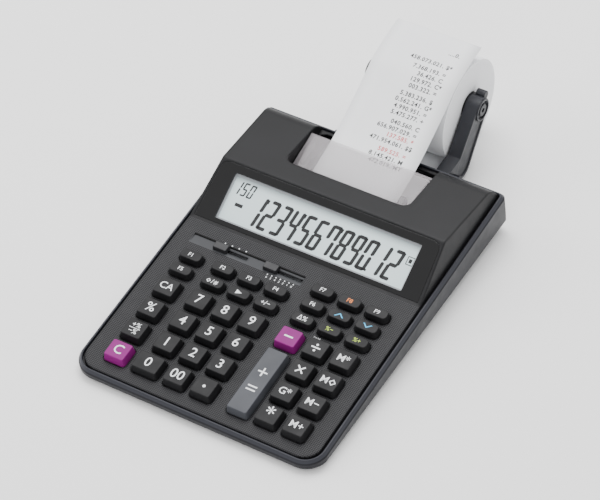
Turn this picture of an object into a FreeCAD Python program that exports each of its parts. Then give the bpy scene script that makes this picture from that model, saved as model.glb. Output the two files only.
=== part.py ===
import FreeCAD, Part
import math
import os
import Sketcher

# Printing desk calculator with a paper roll held behind it on two arms.
# Everything is laid out in the deck frame: X to the right, Y up the key deck
# towards the back, Z normal to the deck, with Z = 0 on the key tops and Y = 0
# on the centres of the front key row. One placement then tilts the deck to
# its slope and sets the feet on Z = 0.

Vector = FreeCAD.Vector
DOC = FreeCAD.newDocument("desk_calculator")
SHEET = DOC.addObject("Spreadsheet::Sheet", "sizes")
SHEET.Label = "sizes"

SIZES = {
    # stance
    "deck_slope": 6.0,
    "deck_height": 15.5,
    # upper case
    "deck_width": 156.4,
    "deck_front": -14.8,
    "deck_level": -5.0,
    "deck_under": -6.8,
    "slope_start": 106.0,
    "slope_angle": 24.0,
    "block_front": 142.6,
    "block_fall": 9.0,
    "block_rear": 198.5,
    "side_lean": 10.0,
    "deck_corner": 11.0,
    "rear_round": 12.0,
    "flange_top": -7.0,
    "flange_under": -8.2,
    "flange_width": 157.8,
    # lower case
    "case_width": 164.6,
    "case_front": -18.4,
    "case_rear": 202.0,
    "case_top": -5.3,
    "case_under": -12.4,
    "case_fall": 5.0,
    "case_corner": 14.0,
    "case_rear_corner": 4.0,
    "case_edge": 2.4,
    "rim_inside": 159.4,
    "lip_width": 2.6,
    "lip_drop": 1.7,
    "case_floor": 1.5,
    "side_draft": 4.0,
    # keys
    "key_pitch": 18.0,
    "row_pitch": 17.07,
    "key_width": 14.4,
    "key_depth": 13.4,
    "key_radius": 1.9,
    "key_taper": 10.5,
    "zero_width": 17.8,
    "small_width": 15.0,
    "small_depth": 7.6,
    "small_radius": 3.0,
    "small_top": -0.6,
    "small_row": 66.2,
    "small_pitch": 11.4,
    "key_foot": -7.7,
    "key_flange_top": -7.0,
    "key_flange": 0.6,
    "key_wall": 1.3,
    "key_roof": 1.6,
    "key_gap": 0.45,
    "key_travel": 2.0,
    "key_waist": -4.8,
    # slide switches
    "switch_band": 92.2,
    "knob_width": 9.6,
    "knob_depth": 5.4,
    # display
    "panel_thick": 1.6,
    "panel_low": 1.4,
    "panel_high": 38.6,
    "panel_low_half": 75.7,
    "panel_high_half": 74.05,
    "panel_corner": 5.0,
    "window_half": 63.4,
    "window_low": 4.2,
    "window_high": 33.6,
    # recess and printer
    "recess_half": 42.0,
    "recess_front": 157.0,
    "recess_radius": 6.0,
    "recess_floor": -6.0,
    "platen_y": 168.0,
    "platen_z": -10.2,
    "platen_radius": 7.3,
    "shaft_radius": 2.0,
    "inlet_z": -20.0,
    # paper, roll and arms
    "paper_width": 57.5,
    "paper_thick": 0.25,
    "roll_radius": 32.2,
    "core_radius": 8.7,
    "roll_y": 252.6,
    "roll_z": -8.9,
    "spindle_y": 252.1,
    "spindle_z": -3.9,
    "spindle_radius": 3.5,
    "arm_inside": 29.7,
    "arm_thick": 8.8,
    "head_radius": 7.6,
    "elbow_y": 226.0,
    "elbow_z": -27.5,
    "elbow_radius": 9.0,
    "pivot_y": 211.0,
    "pivot_z": -26.0,
    "pivot_radius": 8.0,
    "pin_radius": 2.5,
    "pin_fit": 0.06,
    # inside
    "mat_top": -9.9,
    "mat_thick": 0.4,
    "board_thick": 1.2,
}

for row, (alias, number) in enumerate(SIZES.items(), start=1):
    SHEET.set("A%d" % row, alias)
    SHEET.set("B%d" % row, str(number))
    SHEET.setAlias("B%d" % row, alias)
DOC.recompute()


class Length:
    """A size that keeps its value and the sheet expression it comes from."""

    def __init__(self, value, text):
        self.value = float(value)
        self.text = text

    def __add__(self, other):
        other = as_length(other)
        return Length(self.value + other.value, "(%s + %s)" % (self.text, other.text))

    def __sub__(self, other):
        other = as_length(other)
        return Length(self.value - other.value, "(%s - %s)" % (self.text, other.text))

    def __mul__(self, number):
        return Length(self.value * number, "(%s * %s)" % (self.text, number))

    def __neg__(self):
        return Length(-self.value, "(0 - %s)" % self.text)


def as_length(number):
    if isinstance(number, Length):
        return number
    return Length(number, "(%.5f)" % number)


def size(alias):
    """The sheet's value of one alias, with its expression."""
    return Length(float(SHEET.get(alias)), "sizes.%s" % alias)


def tangent_of(alias):
    return math.tan(math.radians(size(alias).value))


def bind(feature, name, length):
    """Set one property of a feature and bind it to the sheet."""
    length = as_length(length)
    setattr(feature, name, length.value)
    feature.setExpression(name, length.text)


# ---------------------------------------------------------------- placement

SLOPE = math.radians(size("deck_slope").value)


def row_y(y, z):
    return y * math.cos(SLOPE) - z * math.sin(SLOPE)


# The front wall's top edge and the back of the paper roll are the ends.
FRONT_END = row_y(size("case_front").value, size("case_top").value - size("lip_drop").value)
REAR_END = row_y(size("roll_y").value, size("roll_z").value) + size("roll_radius").value
DECK = FreeCAD.Placement(
    Vector(0, -(FRONT_END + REAR_END) / 2, size("deck_height").value),
    FreeCAD.Rotation(Vector(1, 0, 0), size("deck_slope").value),
)
# The display's own frame starts on the slope's lower edge.
DISPLAY_SLOPE = FreeCAD.Placement(
    Vector(0, size("slope_start").value, size("deck_level").value),
    FreeCAD.Rotation(Vector(1, 0, 0), size("slope_angle").value),
)


# ---------------------------------------------------------------- sketches

def new_body(label, placement=DECK):
    body = DOC.addObject("PartDesign::Body", label)
    body.Label = label
    body.AllowCompound = True
    body.Placement = placement
    return body


def new_sketch(body, name, plane, offset=None):
    """A sketch on one of the body's origin planes, moved by an offset."""
    sketch = body.newObject("Sketcher::SketchObject", body.Label + "_" + name)
    for feature in body.Origin.OriginFeatures:
        if feature.Role == plane:
            sketch.AttachmentSupport = [(feature, "")]
    sketch.MapMode = "FlatFace"
    if offset is not None:
        sketch.AttachmentOffset = offset
    return sketch


def at_height(z):
    return FreeCAD.Placement(Vector(0, 0, as_length(z).value), FreeCAD.Rotation())


def fix_point(sketch, curve, end, x, y):
    """Hold one end of a curve at a place given by sheet sizes."""
    for kind, length in (("DistanceX", as_length(x)), ("DistanceY", as_length(y))):
        index = sketch.addConstraint(Sketcher.Constraint(kind, -1, 1, curve, end, length.value))
        sketch.setExpression("Constraints[%d]" % index, length.text)


def add_polygon(sketch, points):
    """A closed outline of straight lines through points of sheet sizes."""
    first = None
    count = len(points)
    corners = [Vector(as_length(x).value, as_length(y).value, 0) for x, y in points]
    for index in range(count):
        line = sketch.addGeometry(
            Part.LineSegment(corners[index], corners[(index + 1) % count]), False
        )
        if first is None:
            first = line
    for index in range(count):
        following = first + (index + 1) % count
        sketch.addConstraint(Sketcher.Constraint("Coincident", first + index, 2, following, 1))
        fix_point(sketch, first + index, 1, points[index][0], points[index][1])


def add_rectangle(sketch, left, right, low, high):
    add_polygon(sketch, [(left, low), (right, low), (right, high), (left, high)])


def add_rounded(sketch, left, right, low, high, radius, held=True):
    """A closed rectangle with round corners, its straights held at sheet sizes.

    The many small holes of one sketch are placed from the same sizes and not held.
    """
    left, right, low, high = [as_length(side) for side in (left, right, low, high)]
    radius = as_length(radius)
    straights = [
        (left + radius, low, right - radius, low),
        (right, low + radius, right, high - radius),
        (right - radius, high, left + radius, high),
        (left, high - radius, left, low + radius),
    ]
    centres = [
        (right - radius, low + radius),
        (right - radius, high - radius),
        (left + radius, high - radius),
        (left + radius, low + radius),
    ]
    first = sketch.GeometryCount
    for x1, y1, x2, y2 in straights:
        start = Vector(x1.value, y1.value, 0)
        end = Vector(x2.value, y2.value, 0)
        sketch.addGeometry(Part.LineSegment(start, end), False)
    for index, (x, y) in enumerate(centres):
        circle = Part.Circle(Vector(x.value, y.value, 0), Vector(0, 0, 1), radius.value)
        start = -math.pi / 2 + index * math.pi / 2
        sketch.addGeometry(Part.ArcOfCircle(circle, start, start + math.pi / 2), False)
    if not held:
        return
    for index, (x1, y1, x2, y2) in enumerate(straights):
        line = first + index
        arc = first + 4 + index
        following = first + (index + 1) % 4
        fix_point(sketch, line, 1, x1, y1)
        fix_point(sketch, line, 2, x2, y2)
        sketch.addConstraint(Sketcher.Constraint("Coincident", line, 2, arc, 1))
        sketch.addConstraint(Sketcher.Constraint("Coincident", arc, 2, following, 1))
        bound = sketch.addConstraint(Sketcher.Constraint("Radius", arc, radius.value))
        sketch.setExpression("Constraints[%d]" % bound, radius.text)


def add_circle(sketch, x, y, radius, held=True):
    x, y, radius = as_length(x), as_length(y), as_length(radius)
    circle = Part.Circle(Vector(x.value, y.value, 0), Vector(0, 0, 1), radius.value)
    curve = sketch.addGeometry(circle, False)
    if not held:
        return
    fix_point(sketch, curve, 3, x, y)
    bound = sketch.addConstraint(Sketcher.Constraint("Radius", curve, radius.value))
    sketch.setExpression("Constraints[%d]" % bound, radius.text)


def add_strap(sketch, first_centre, first_radius, second_centre, second_radius):
    """Two circles joined by their outer tangents, as one closed outline."""
    across = second_centre - first_centre
    heading = math.atan2(across.y, across.x)
    swing = math.acos((first_radius - second_radius) / across.Length)
    left = heading + swing
    right = heading - swing

    def on_circle(centre, radius, angle):
        return centre + Vector(math.cos(angle), math.sin(angle), 0) * radius

    first = sketch.GeometryCount
    outline = Part.Circle(first_centre, Vector(0, 0, 1), first_radius)
    sketch.addGeometry(Part.ArcOfCircle(outline, left, right + 2 * math.pi), False)
    near = on_circle(first_centre, first_radius, right)
    far = on_circle(second_centre, second_radius, right)
    sketch.addGeometry(Part.LineSegment(near, far), False)
    outline = Part.Circle(second_centre, Vector(0, 0, 1), second_radius)
    sketch.addGeometry(Part.ArcOfCircle(outline, right, left), False)
    near = on_circle(second_centre, second_radius, left)
    far = on_circle(first_centre, first_radius, left)
    sketch.addGeometry(Part.LineSegment(near, far), False)
    for index in range(4):
        following = first + (index + 1) % 4
        sketch.addConstraint(Sketcher.Constraint("Coincident", first + index, 2, following, 1))


# ---------------------------------------------------------------- features

def pad(body, sketch, length, reverse=False, middle=False, taper=0.0):
    feature = body.newObject("PartDesign::Pad", sketch.Name + "_pad")
    feature.Profile = sketch
    feature.SideType = "Symmetric" if middle else "One side"
    feature.Reversed = reverse
    bind(feature, "Length", length)
    if taper:
        feature.TaperAngle = taper
    sketch.Visibility = False
    body.Tip = feature
    DOC.recompute()
    return feature


def pocket(body, sketch, length, reverse=False, middle=False):
    """Cut a sketch from the body, and make sure that it did cut something."""
    before = body.Shape.Volume
    feature = body.newObject("PartDesign::Pocket", sketch.Name + "_pocket")
    feature.Profile = sketch
    feature.SideType = "Symmetric" if middle else "One side"
    feature.Reversed = reverse
    bind(feature, "Length", length)
    sketch.Visibility = False
    body.Tip = feature
    DOC.recompute()
    if body.Shape.Volume > before - 0.01:
        raise RuntimeError(sketch.Name + " cuts nothing")
    return feature


def dress_edges(body, kind, name, wanted, radius, second=None):
    """Fillet or chamfer the edges of the body's tip that a test picks."""
    base = body.Tip
    names = []
    for index, edge in enumerate(base.Shape.Edges, start=1):
        if wanted(edge):
            names.append("Edge%d" % index)
    if not names:
        raise RuntimeError(name + " has no edges")
    feature = body.newObject("PartDesign::" + kind, body.Label + "_" + name)
    feature.Base = (base, names)
    bind(feature, "Radius" if kind == "Fillet" else "Size", radius)
    if second is not None:
        feature.ChamferType = "Two distances"
        bind(feature, "Size2", second)
    body.Tip = feature
    DOC.recompute()
    if "Invalid" in feature.State or not feature.Shape.isValid():
        raise RuntimeError(name + " failed")
    return feature


def middle_of(edge):
    return edge.BoundBox.Center


def runs_along(edge, axis, share=0.9):
    """True for an edge whose ends lie mainly along one axis."""
    if len(edge.Vertexes) < 2:
        return False
    way = edge.Vertexes[1].Point - edge.Vertexes[0].Point
    if way.Length < 1e-6:
        return False
    return abs(way.dot(axis)) / way.Length > share


# ---------------------------------------------------------------- key grid

COLUMNS = {"a": -58.96, "b": -36.96, "c": -18.96, "d": -0.96, "e": 23.84, "f": 41.84, "g": 59.84}


def big_row(number):
    return (number - 1) * size("row_pitch").value


def small_row(number):
    return size("small_row").value + number * size("small_pitch").value


class Key:
    def __init__(self, name, column, y, width, depth, radius, top, shift=0.0):
        self.name = name
        self.x = COLUMNS[column] + shift
        self.y = y
        self.width = width
        self.depth = depth
        self.radius = radius
        self.top = top


def square_key(name, column, row):
    return Key(name, column, big_row(row), size("key_width"), size("key_depth"),
               size("key_radius"), as_length(0.0))


def small_key(name, column, row):
    return Key(name, column, small_row(row), size("small_width"), size("small_depth"),
               size("small_radius"), size("small_top"))


def key_list():
    """All keys, front row first. Big rows are 1 to 4, small rows 0 to 2."""
    square = {
        "a": ["key_clear", "key_mark_up", "key_percent", "key_clear_all"],
        "b": [None, "key_1", "key_4", "key_7"],
        "c": ["key_double_zero", "key_2", "key_5", "key_8"],
        "d": ["key_point", "key_3", "key_6", "key_9"],
        "e": [None, None, None, "key_minus"],
        "f": ["key_total", "key_grand_total", "key_multiply", "key_divide"],
        "g": ["key_memory_plus", "key_memory_minus", "key_memory_subtotal", "key_memory_total"],
    }
    small = {
        "a": ["key_item_average", "key_time"],
        "b": ["key_non_add", "key_cost"],
        "c": ["key_right_shift", "key_sell"],
        "d": ["key_sign", "key_margin"],
        "e": ["key_delta_percent", "key_correct", "key_print"],
        "f": ["key_tax_minus", "key_page_up", "key_reprint"],
        "g": ["key_tax_plus", "key_page_down", "key_feed"],
    }
    keys = []
    for column, names in square.items():
        for row, name in enumerate(names, start=1):
            if name:
                keys.append(square_key(name, column, row))
    for column, names in small.items():
        for row, name in enumerate(names):
            keys.append(small_key(name, column, row))
    # The zero key is wider towards the left, and the plus key spans three rows.
    wider = size("zero_width") - size("key_width")
    keys.append(Key("key_0", "b", big_row(1), size("zero_width"), size("key_depth"),
                    size("key_radius"), as_length(0.0), shift=-wider.value / 2))
    tall = size("key_depth") + size("row_pitch") * 2
    keys.append(Key("key_plus_equals", "e", big_row(2), size("key_width"), tall,
                    size("key_radius"), as_length(0.0)))
    return keys


KEYS = key_list()


def key_body(key):
    """One hollow key: straight skirt, tapered cap and a flange under the deck."""
    place = DECK.multiply(FreeCAD.Placement(Vector(key.x, key.y, 0), FreeCAD.Rotation()))
    body = new_body(key.name, place)
    half_width = key.width * 0.5
    half_depth = key.depth * 0.5
    waist = size("key_waist")
    skirt = new_sketch(body, "skirt", "XY_Plane", at_height(size("key_foot")))
    add_rounded(skirt, -half_width, half_width, -half_depth, half_depth, key.radius)
    pad(body, skirt, waist - size("key_foot"))
    cap = new_sketch(body, "cap", "XY_Plane", at_height(waist))
    add_rounded(cap, -half_width, half_width, -half_depth, half_depth, key.radius)
    pad(body, cap, key.top - waist, taper=-size("key_taper").value)
    top = key.top.value

    def on_top(edge):
        return abs(edge.BoundBox.ZMin - top) < 0.01 and abs(edge.BoundBox.ZMax - top) < 0.01

    dress_edges(body, "Fillet", "top_edge", on_top, 0.45)
    flange = new_sketch(body, "flange", "XY_Plane", at_height(size("key_foot")))
    add_rounded(flange, -half_width - size("key_flange"), half_width + size("key_flange"),
                -half_depth - size("key_flange"), half_depth + size("key_flange"),
                key.radius)
    pad(body, flange, size("key_flange_top") - size("key_foot"))
    inside = new_sketch(body, "inside", "XY_Plane", at_height(size("key_foot")))
    wall = size("key_wall")
    add_rectangle(inside, -half_width + wall + 0.3, half_width - wall - 0.3,
                  -half_depth + wall + 0.3, half_depth - wall - 0.3)
    pocket(body, inside, key.top - size("key_roof") - size("key_foot"), reverse=True)
    return body


# ---------------------------------------------------------------- upper case

TOP_FRONT_Z = (size("deck_level").value
               + (size("block_front").value - size("slope_start").value)
               * tangent_of("slope_angle"))


def block_top(y):
    """Height of the block's top face at one depth."""
    return TOP_FRONT_Z - (y - size("block_front").value) * tangent_of("block_fall")


SWITCHES = {"function_switch": (-47.6, 14.4), "decimal_switch": (-13.2, 17.6)}
POSTS = [(-47.9, 25.6), (11.4, 25.6)]
CORNER_POSTS = [(-75.5, 112.0), (75.5, 112.0), (-75.5, 188.0), (75.5, 188.0)]


def upper_case():
    body = new_body("upper_case")
    half = size("deck_width") * 0.5
    rear = size("block_rear")
    profile = new_sketch(body, "profile", "YZ_Plane")
    add_polygon(profile, [
        (size("deck_front"), size("flange_under")),
        (rear, size("flange_under")),
        (rear, block_top(rear.value)),
        (size("block_front"), TOP_FRONT_Z),
        (size("slope_start"), size("deck_level")),
        (size("deck_front"), size("deck_level")),
    ])
    pad(body, profile, size("deck_width"), middle=True)
    up = Vector(0, 0, 1)
    dress_edges(body, "Fillet", "rear_round",
                lambda edge: middle_of(edge).y > 190 and middle_of(edge).z > -1
                and edge.BoundBox.XLength > 100,
                size("rear_round"))
    lean = new_sketch(body, "lean", "XZ_Plane")
    top = 16.0
    inset = (top - size("deck_level").value) * tangent_of("side_lean")
    for side in (1, -1):
        add_polygon(lean, [
            (half * side, size("deck_level")),
            ((half + 4) * side, size("deck_level")),
            ((half + 4) * side, top),
            ((half - inset) * side, top),
        ])
    pocket(body, lean, 500.0, middle=True)

    dress_edges(body, "Fillet", "front_corners",
                lambda edge: runs_along(edge, up) and middle_of(edge).y < 0,
                size("deck_corner"))

    flange = new_sketch(body, "flange", "XY_Plane", at_height(size("flange_under")))
    reach = size("flange_width") * 0.5
    edge = size("flange_width") * 0.5 - half
    add_rounded(flange, -reach, reach, size("deck_front") - edge, rear + edge,
                size("deck_corner") + edge)
    pad(body, flange, size("flange_top") - size("flange_under"))
    behind = new_sketch(body, "flange_rear", "XY_Plane", at_height(size("flange_under")))
    add_rounded(behind, -reach, reach, 60.0, rear + edge, 1.2)
    pad(body, behind, size("flange_top") - size("flange_under"))

    # The hollow under the deck, then under the display, then each side of the recess.
    under = new_sketch(body, "under_deck", "XY_Plane", at_height(size("flange_under")))
    add_rounded(under, -half + 2.2, half - 2.2, size("deck_front") + 2.2, rear - 2.2,
                size("deck_corner") - 2.2)
    pocket(body, under, size("deck_under") - size("flange_under"), reverse=True)
    roof = block_top(154.8) - 2.2
    ahead = new_sketch(body, "under_display", "YZ_Plane")
    add_polygon(ahead, [
        (107.9, size("deck_under") - 0.5),
        (154.8, size("deck_under") - 0.5),
        (154.8, roof),
        (143.0, TOP_FRONT_Z - 2.6),
        (107.9, size("deck_under")),
    ])
    pocket(body, ahead, 145.0, middle=True)
    wing = new_sketch(body, "beside_recess", "YZ_Plane",
                      FreeCAD.Placement(Vector(0, 0, 44.2), FreeCAD.Rotation()))
    add_polygon(wing, [
        (154.8, size("deck_under") - 0.5),
        (196.3, size("deck_under") - 0.5),
        (194.0, -4.0),
        (184.0, block_top(184.0) - 2.3),
        (154.8, roof),
    ])
    pocket(body, wing, 28.3, reverse=True)
    other = new_sketch(body, "beside_recess_left", "YZ_Plane",
                       FreeCAD.Placement(Vector(0, 0, -44.2), FreeCAD.Rotation()))
    add_polygon(other, [
        (154.8, size("deck_under") - 0.5),
        (196.3, size("deck_under") - 0.5),
        (194.0, -4.0),
        (184.0, block_top(184.0) - 2.3),
        (154.8, roof),
    ])
    pocket(body, other, 28.3)

    # The recess is open at the block's back edge and down to the printer.
    recess = new_sketch(body, "recess", "XY_Plane", at_height(16.0))
    side = size("recess_half")
    add_rounded(recess, -side, side, size("recess_front"), 215.0, size("recess_radius"))
    pocket(body, recess, 16.0 - size("recess_floor").value)
    shaft = new_sketch(body, "recess_well", "XY_Plane", at_height(size("flange_under") - 1))
    add_rounded(shaft, -side, side, size("recess_front"), rear - 2.2, size("recess_radius"))
    pocket(body, shaft, 6.0, reverse=True)

    # Seat and window of the display, in the slope's own frame.
    seat = new_sketch(body, "seat", "XY_Plane", DISPLAY_SLOPE)
    panel_outline(seat, 0.15)
    pocket(body, seat, size("panel_thick") + 0.05)
    window = new_sketch(body, "window", "XY_Plane", DISPLAY_SLOPE)
    add_rectangle(window, -size("window_half") - 1.1, size("window_half") + 1.1,
                  size("window_low") - 0.9, size("window_high") + 0.9)
    pocket(body, window, 6.5)

    # Key holes.
    holes = new_sketch(body, "key_holes", "XY_Plane", at_height(size("deck_level") + 1))
    gap = size("key_gap")
    for key in KEYS:
        reach_x = key.width * 0.5 + gap
        reach_y = key.depth * 0.5 + gap
        add_rounded(holes, as_length(key.x) - reach_x, as_length(key.x) + reach_x,
                    as_length(key.y) - reach_y, as_length(key.y) + reach_y,
                    key.radius + gap, held=False)
    pocket(body, holes, 8.0)

    # Shallow band of the two slide switches, deeper at its upper edge, and their slots.
    band = new_sketch(body, "switch_band", "YZ_Plane")
    line = size("switch_band")
    level = size("deck_level")
    add_polygon(band, [
        (line + 3.3, level + 0.5),
        (line + 3.3, level - 0.9),
        (line - 3.6, level),
        (line - 3.6, level + 0.5),
    ])
    band.AttachmentOffset = FreeCAD.Placement(Vector(0, 0, -68.0), FreeCAD.Rotation())
    pocket(body, band, 76.0, reverse=True)
    slots = new_sketch(body, "switch_slots", "XY_Plane", at_height(level + 1))
    for x, travel in SWITCHES.values():
        add_rectangle(slots, x - 3.4, x + travel + 3.4, line - 1.3, line + 1.3)
    pocket(body, slots, 6.0)
    return body


def panel_outline(sketch, margin):
    """The display panel's outline: straight sides that lean in, square lower corners."""
    add_polygon(sketch, [
        (-size("panel_low_half") - margin, size("panel_low") - margin),
        (size("panel_low_half") + margin, size("panel_low") - margin),
        (size("panel_high_half") + margin, size("panel_high") - size("panel_corner")),
        (size("panel_high_half") + margin - 1.4, size("panel_high") - 1.4),
        (size("panel_high_half") - size("panel_corner"), size("panel_high") + margin),
        (-size("panel_high_half") + size("panel_corner"), size("panel_high") + margin),
        (-size("panel_high_half") - margin + 1.4, size("panel_high") - 1.4),
        (-size("panel_high_half") - margin, size("panel_high") - size("panel_corner")),
    ])


def display_panel():
    body = new_body("display_panel", DECK.multiply(DISPLAY_SLOPE))
    outline = new_sketch(body, "outline", "XY_Plane", at_height(-size("panel_thick")))
    panel_outline(outline, 0.0)
    pad(body, outline, size("panel_thick"))
    window = new_sketch(body, "window", "XY_Plane", at_height(1.0))
    add_rounded(window, -size("window_half"), size("window_half"),
                size("window_low"), size("window_high"), 0.8)
    pocket(body, window, size("panel_thick") + 2)
    return body


def lcd_module():
    """Display glass in a raised frame, just under the panel's window."""
    body = new_body("lcd_module", DECK.multiply(DISPLAY_SLOPE))
    block = new_sketch(body, "block", "XY_Plane", at_height(-4.0))
    half = size("window_half") + 0.9
    add_rectangle(block, -half, half, size("window_low") - 0.7, size("window_high") + 0.7)
    pad(body, block, 4.0 - size("panel_thick").value - 0.15)
    glass = new_sketch(body, "glass", "XY_Plane", at_height(0.0))
    rim = 1.1
    add_rectangle(glass, -size("window_half") + rim, size("window_half") - rim,
                  size("window_low") + rim, size("window_high") - rim)
    pocket(body, glass, size("panel_thick") + 0.95)
    return body


# ---------------------------------------------------------------- lower case

def case_bottom(y):
    """Height of the lower case's underside at one depth."""
    return (size("case_under").value
            - (y - size("case_front").value) * tangent_of("case_fall"))


BAY = {"left": -74.0, "right": 36.0, "front": 114.0, "back": 147.0, "height": 16.9}
DOOR = {"left": -72.4, "right": 34.4, "front": 112.3, "back": 149.0, "thick": 1.5}
SEAT_BACK = 156.0


def lower_case():
    body = new_body("lower_case")
    half = size("case_width") * 0.5
    front = size("case_front")
    rear = size("case_rear")
    profile = new_sketch(body, "profile", "YZ_Plane")
    add_polygon(profile, [
        (front, size("case_under")),
        (rear, case_bottom(rear.value)),
        (rear, size("case_top")),
        (front, size("case_top")),
    ])
    pad(body, profile, size("case_width"), middle=True)
    up = Vector(0, 0, 1)
    dress_edges(body, "Fillet", "front_corners",
                lambda edge: runs_along(edge, up) and middle_of(edge).y < 0,
                size("case_corner"))
    dress_edges(body, "Fillet", "rear_corners",
                lambda edge: runs_along(edge, up) and middle_of(edge).y > 190,
                size("case_rear_corner"))

    def upper_rim(edge):
        box = edge.BoundBox
        return box.ZMin > size("case_top").value - 0.01

    dress_edges(body, "Chamfer", "lip", upper_rim, size("lip_width"), size("lip_drop"))
    draft = new_sketch(body, "draft", "XZ_Plane")
    start = size("case_top").value - size("lip_drop").value - 0.3
    inset = (40.0 + start) * tangent_of("side_draft")
    for side in (1, -1):
        add_polygon(draft, [
            (half * side, start),
            ((half - inset) * side, -40.0),
            ((half + 4) * side, -40.0),
            ((half + 4) * side, start),
        ])
    pocket(body, draft, 600.0, middle=True)

    def underside(edge):
        box = edge.BoundBox
        low = case_bottom(box.Center.y)
        return box.ZMax < size("case_under").value + 0.5 and abs(box.Center.z - low) < 2.0

    dress_edges(body, "Fillet", "lower_edge", underside, size("case_edge"))

    # Inside: a rim that takes the upper case's flange, and the tray below it.
    rim = new_sketch(body, "rim", "XY_Plane", at_height(size("case_top") + 1))
    inside = size("rim_inside") * 0.5
    wall = half - inside
    add_rounded(rim, -inside, inside, front + wall, rear - wall, size("case_corner") - 3)
    pocket(body, rim, size("case_top") + 1 - size("flange_under") + 0.05)
    behind = new_sketch(body, "rim_rear", "XY_Plane", at_height(size("case_top") + 1))
    add_rounded(behind, -inside, inside, 60.0, rear - wall, 2.0)
    pocket(body, behind, size("case_top") + 1 - size("flange_under") + 0.05)
    # The tray steps in at the front to follow the rounded corners.
    floor = size("case_floor").value
    for name, ahead, width in (("front", 3.0, 139.0), ("step", 8.4, 149.0),
                               ("main", 15.4, 155.0)):
        tray = new_sketch(body, "tray_" + name, "YZ_Plane")
        add_polygon(tray, [
            (front + ahead, case_bottom(front.value + ahead) + floor),
            (rear - 2.6, case_bottom(rear.value - 2.6) + floor),
            (rear - 2.6, size("flange_under")),
            (front + ahead, size("flange_under")),
        ])
        pocket(body, tray, width, middle=True)
    battery_bay(body)
    case_posts(body)
    rear_openings(body)
    arm_lugs(body)
    return body


def case_tilt(height):
    """A frame that lies on the case's underside, raised by a height."""
    fall = math.radians(size("case_fall").value)
    front = size("case_front").value + height * math.sin(fall)
    under = size("case_under").value + height * math.cos(fall)
    return FreeCAD.Placement(Vector(0, front, under),
                             FreeCAD.Rotation(Vector(1, 0, 0), -size("case_fall").value))


def battery_bay(body):
    """A tub for four cells, closed below by the battery cover."""
    start = size("case_front").value
    tub = new_sketch(body, "battery_tub", "XY_Plane", case_tilt(0.2))
    add_rectangle(tub, BAY["left"], BAY["right"], BAY["front"] - start, BAY["back"] - start)
    pad(body, tub, BAY["height"])
    hollow = new_sketch(body, "battery_hollow", "XY_Plane", case_tilt(-5.0))
    add_rectangle(hollow, BAY["left"] + 1.5, BAY["right"] - 1.5,
                  BAY["front"] + 1.5 - start, BAY["back"] - 1.5 - start)
    pocket(body, hollow, BAY["height"] + 4.2, reverse=True)
    # The cover's seat is longer than the cover, which slides back and lifts out.
    seat = new_sketch(body, "cover_seat", "XY_Plane", case_tilt(-5.0))
    add_rectangle(seat, DOOR["left"] - 0.3, DOOR["right"] + 0.3,
                  DOOR["front"] - 0.3 - start, SEAT_BACK - start)
    pocket(body, seat, 5.0 + DOOR["thick"] + 0.1, reverse=True)
    # A thin roof closes the seat towards the inside, except over the bay.
    roof = new_sketch(body, "seat_roof", "XY_Plane", case_tilt(DOOR["thick"] + 0.1))
    add_rectangle(roof, DOOR["left"] - 1.6, DOOR["right"] + 1.6, BAY["back"] - 1.5 - start,
                  SEAT_BACK + 1.5 - start)
    pad(body, roof, 1.3)
    lead = new_sketch(body, "seat_lead", "XY_Plane", case_tilt(DOOR["thick"] + 0.1))
    add_rectangle(lead, DOOR["left"] - 1.6, DOOR["right"] + 1.6, DOOR["front"] - 2.0 - start,
                  BAY["front"] + 1.5 - start)
    pad(body, lead, 1.3)


def case_posts(body):
    """Screw posts under the deck and under the upper case's side walls."""
    low = -26.0
    posts = new_sketch(body, "posts", "XY_Plane", at_height(low))
    for x, y in POSTS:
        add_circle(posts, x, y, 2.6)
    pad(body, posts, size("deck_under") - low)
    corners = new_sketch(body, "corner_posts", "XY_Plane", at_height(-32.0))
    for x, y in CORNER_POSTS:
        add_circle(corners, x, y, 2.6)
    pad(body, corners, size("flange_under") + 32.0)
    # Trim everything below the underside, then sink the screw heads.
    start = size("case_front").value
    below = new_sketch(body, "below", "XY_Plane", case_tilt(-30.0))
    add_rectangle(below, -90.0, 90.0, -10.0, 240.0 - start)
    pocket(body, below, 30.0, reverse=True)
    sink = new_sketch(body, "screw_sinks", "XY_Plane", case_tilt(-1.0))
    for x, y in POSTS + CORNER_POSTS:
        along = (y - start) / math.cos(math.radians(size("case_fall").value))
        add_circle(sink, x, along + 0.6, 2.1)
    pocket(body, sink, 3.2, reverse=True)


def rear_openings(body):
    """Paper inlet and the hole of the power socket, through the rear wall."""
    rear = size("case_rear").value
    opening = new_sketch(body, "paper_inlet", "XZ_Plane",
                         FreeCAD.Placement(Vector(0, 0, -rear - 2), FreeCAD.Rotation()))
    add_rounded(opening, -31.0, 31.0, size("inlet_z") - 3.0, size("inlet_z") + 2.6, 1.5)
    pocket(body, opening, 8.0, reverse=True)
    socket = new_sketch(body, "socket_hole", "XZ_Plane",
                        FreeCAD.Placement(Vector(0, 0, -rear - 2), FreeCAD.Rotation()))
    add_circle(socket, -60.0, -17.0, 4.2)
    pocket(body, socket, 8.0, reverse=True)


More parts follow.
